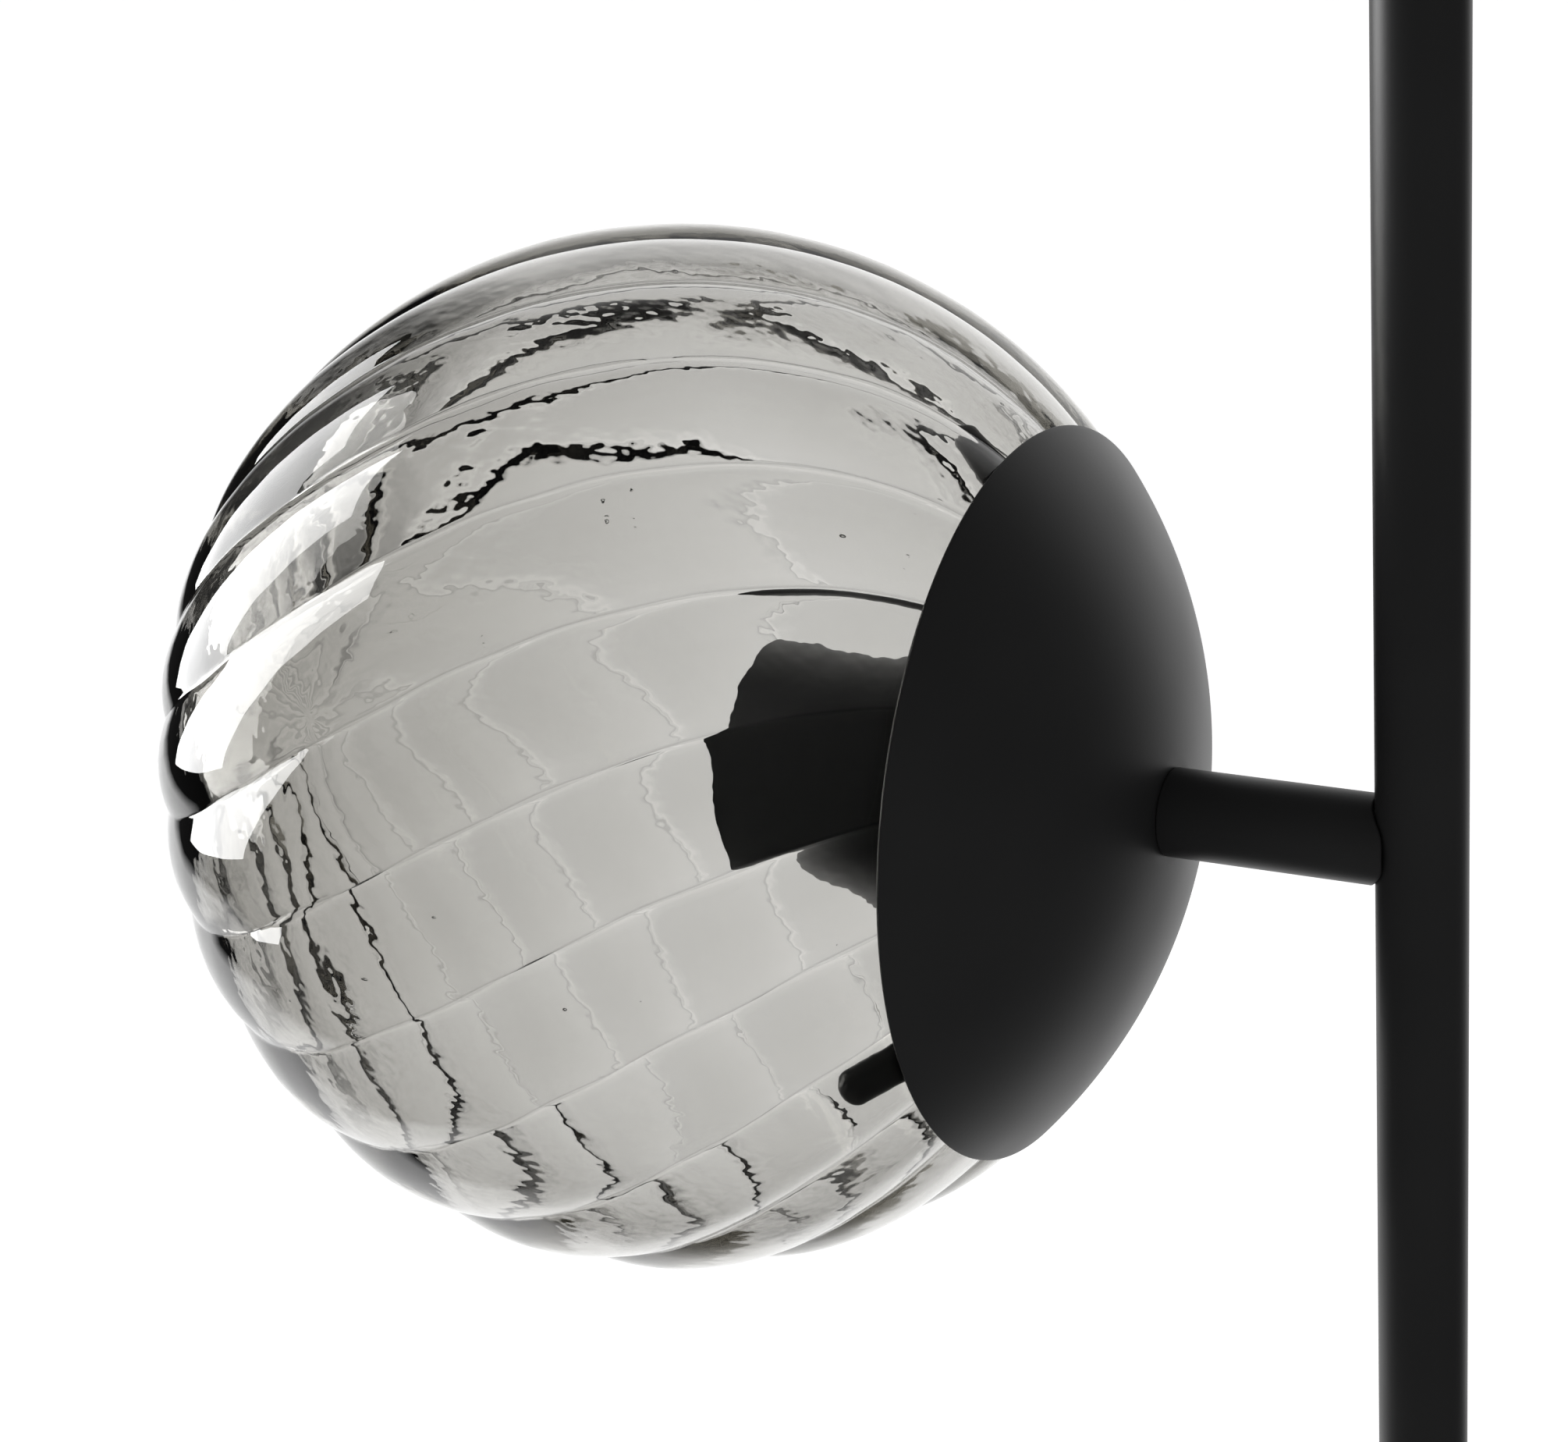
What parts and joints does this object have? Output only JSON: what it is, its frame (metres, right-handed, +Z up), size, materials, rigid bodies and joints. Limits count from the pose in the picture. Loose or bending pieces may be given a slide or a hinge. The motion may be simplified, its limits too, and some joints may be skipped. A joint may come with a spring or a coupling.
{
  "type": "floor lamp",
  "caption": "Globe floor lamp: slim post on a round weighted base, short side arm, domed cup and a smoked glass globe with twisted ribs that pulls off its spring prongs.",
  "frame": {"origin": "centre of the base, on the floor", "axes": "+Z up along the post; the arm and globe point along -X; the cable inlet is at the back, on +Y"},
  "size_m": [0.3107, 0.252, 1.498],
  "materials": {
    "smoked_glass": "smoked grey, polished, twisted ribs",
    "black_coat": "fine matt black powder coat",
    "plated_steel": "zinc plated",
    "spring_steel": "oiled spring steel",
    "soft_sleeve": "soft tube, slightly glossy",
    "holder_moulding": "black moulded thermoplastic",
    "nickel_brass": "bright drawn brass",
    "block_moulding": "natural white moulding",
    "cast_weight": "rough casting, primed grey",
    "pad_foam": "fine closed foam",
    "lead_brown": "brown insulation",
    "lead_blue": "blue insulation",
    "lead_green": "green insulation with a yellow stripe"
  },
  "bodies": {
    "lamp": {"arm_stud": "plated_steel", "arm_tube": "black_coat", "base_cover": "black_coat", "base_pad": "pad_foam", "base_weight": "cast_weight", "block_screws": "plated_steel", "cable_inlet": "holder_moulding", "centre_contact": "nickel_brass", "contact_pins": "nickel_brass", "cup_shell": "black_coat", "cup_washer": "plated_steel", "earth_tag": "plated_steel", "foot_nut": "plated_steel", "foot_stud": "plated_steel", "foot_washer": "plated_steel", "grub_screw": "plated_steel", "holder_body": "holder_moulding", "holder_can": "black_coat", "holder_dome": "holder_moulding", "joint_studs": "plated_steel", "lead_earth": "lead_green", "lead_live": "lead_brown", "lead_neutral": "lead_blue", "lower_post": "black_coat", "middle_post": "black_coat", "post_cap": "black_coat", "prong_sleeves": "soft_sleeve", "prong_spring": "spring_steel", "stud_nut": "plated_steel", "terminal_block": "block_moulding", "terminal_screws": "plated_steel", "terminals": "nickel_brass", "thread_bushes": "plated_steel", "thread_shell": "nickel_brass", "upper_post": "black_coat"},
    "globe": {"glass_globe": "smoked_glass"}
  },
  "joints": [
    {"name": "globe_pull", "type": "slide", "parent": "lamp", "child": "globe", "axis": [-1, 0, 0], "range_m": [0, 0.07], "deforming": ["prong_spring", "prong_sleeves"]}
  ]
}
